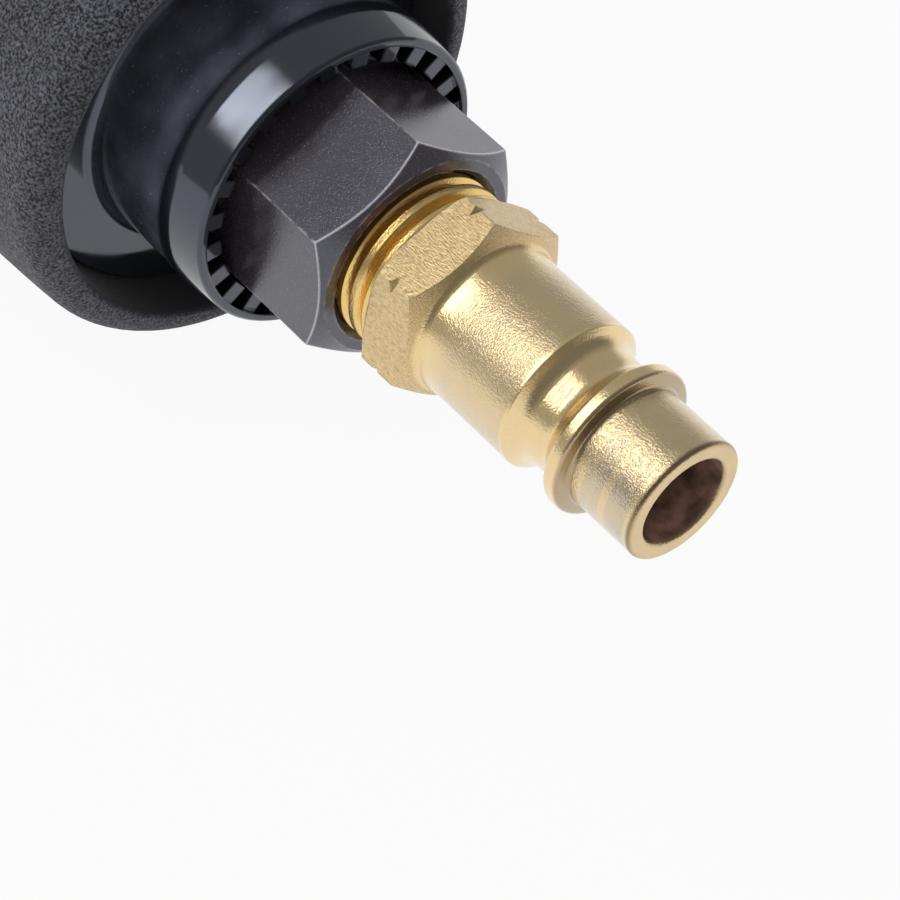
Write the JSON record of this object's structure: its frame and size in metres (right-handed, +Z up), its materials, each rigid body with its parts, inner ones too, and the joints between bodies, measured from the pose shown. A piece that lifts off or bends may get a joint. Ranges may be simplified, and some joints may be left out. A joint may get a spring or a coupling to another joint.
{
  "type": "air die grinder",
  "caption": "Straight pneumatic die grinder: grained grip, sprung throttle lever with safety latch, rear exhaust cap, hex inlet with brass coupling plug, collet nose.",
  "frame": {"origin": "centre of the collet's mouth, on the spindle axis", "axes": "+X out of the collet along the spindle, +Z up through the throttle lever"},
  "size_m": [0.2001, 0.0404, 0.0646],
  "materials": {
    "grip": "matte, fine grain",
    "cap": "glossy",
    "bushing": "satin",
    "plug": "satin",
    "housing": "satin",
    "nose": "satin",
    "lever": "satin",
    "latch": "satin",
    "chuck": "satin",
    "nut": "satin",
    "pins": "satin",
    "springs": "satin",
    "valve": "satin",
    "valve_brass": "satin",
    "regulator": "satin",
    "seals": "matte",
    "felt": "matte",
    "motor": "satin",
    "vanes": "matte",
    "bearings": "polished"
  },
  "bodies": {
    "body": {"housing": "housing", "grip_sleeve": "grip", "exhaust_cap": "cap", "silencer": "felt", "inlet_bushing": "bushing", "inlet_seal": "seals", "inlet_screen": "valve_brass", "air_plug": "plug", "valve_guide": "valve_brass", "valve_seat": "valve_brass", "valve_spring": "springs", "valve_plug": "valve_brass", "rear_plate": "motor", "cylinder": "motor", "cylinder_dowel": "pins", "front_plate": "motor", "wave_washer": "springs", "rear_bearing_outer": "bearings", "front_bearing_outer": "bearings", "clamp_nut": "nose", "lever_pin": "pins"},
    "spindle": {"rotor": "motor", "vanes": "vanes", "rear_bearing_inner": "bearings", "front_bearing_inner": "bearings", "chuck": "chuck", "collet": "chuck"},
    "rear_balls": {"rear_bearing_balls": "bearings"},
    "front_balls": {"front_bearing_balls": "bearings"},
    "nut": {"collet_nut": "nut"},
    "lever": {"throttle_lever": "lever", "latch_pin": "pins", "latch_spring": "springs"},
    "latch": {"safety_latch": "latch"},
    "valve": {"valve_stem": "valve", "valve_seal": "seals"},
    "regulator": {"regulator": "regulator", "regulator_seal": "seals"}
  },
  "joints": [
    {"name": "lever_press", "type": "hinge", "parent": "body", "child": "lever", "pos_m": [-0.137, 0, 0.0226], "axis": [0, 1, 0], "range_deg": [0, 10], "stiffness_Nm_per_rad": 0.4, "springref_deg": -8.59},
    {"name": "latch_swing", "type": "hinge", "parent": "lever", "child": "latch", "pos_m": [-0.10659, 0, 0.02867], "axis": [0, 1, 0], "range_deg": [0, 80]},
    {"name": "valve_stroke", "type": "slide", "parent": "body", "child": "valve", "axis": [0, 0, -1], "range_m": [0, 0.0019], "deforming": ["valve_spring"]},
    {"name": "spindle_spin", "type": "hinge", "parent": "body", "child": "spindle", "pos_m": [0, 0, 0], "axis": [1, 0, 0], "continuous": true},
    {"name": "rear_ball_roll", "type": "hinge", "parent": "body", "child": "rear_balls", "pos_m": [-0.11, 0, 0], "axis": [1, 0, 0], "continuous": true},
    {"name": "front_ball_roll", "type": "hinge", "parent": "body", "child": "front_balls", "pos_m": [-0.0595, 0, 0], "axis": [1, 0, 0], "continuous": true},
    {"name": "nut_turn", "type": "hinge", "parent": "spindle", "child": "nut", "pos_m": [0, 0, 0], "axis": [1, 0, 0], "range_deg": [0, 540]},
    {"name": "regulator_turn", "type": "hinge", "parent": "body", "child": "regulator", "pos_m": [-0.1172, 0, 0.012], "axis": [0, 1, 0], "range_deg": [0, 90]}
  ],
  "couplings": [
    {"joint": "latch_swing", "follows": "lever_press", "ratio": 8},
    {"joint": "valve_stroke", "follows": "lever_press", "m_per_rad": 0.0104},
    {"joint": "rear_ball_roll", "follows": "spindle_spin", "ratio": 0.38461},
    {"joint": "front_ball_roll", "follows": "spindle_spin", "ratio": 0.4}
  ]
}
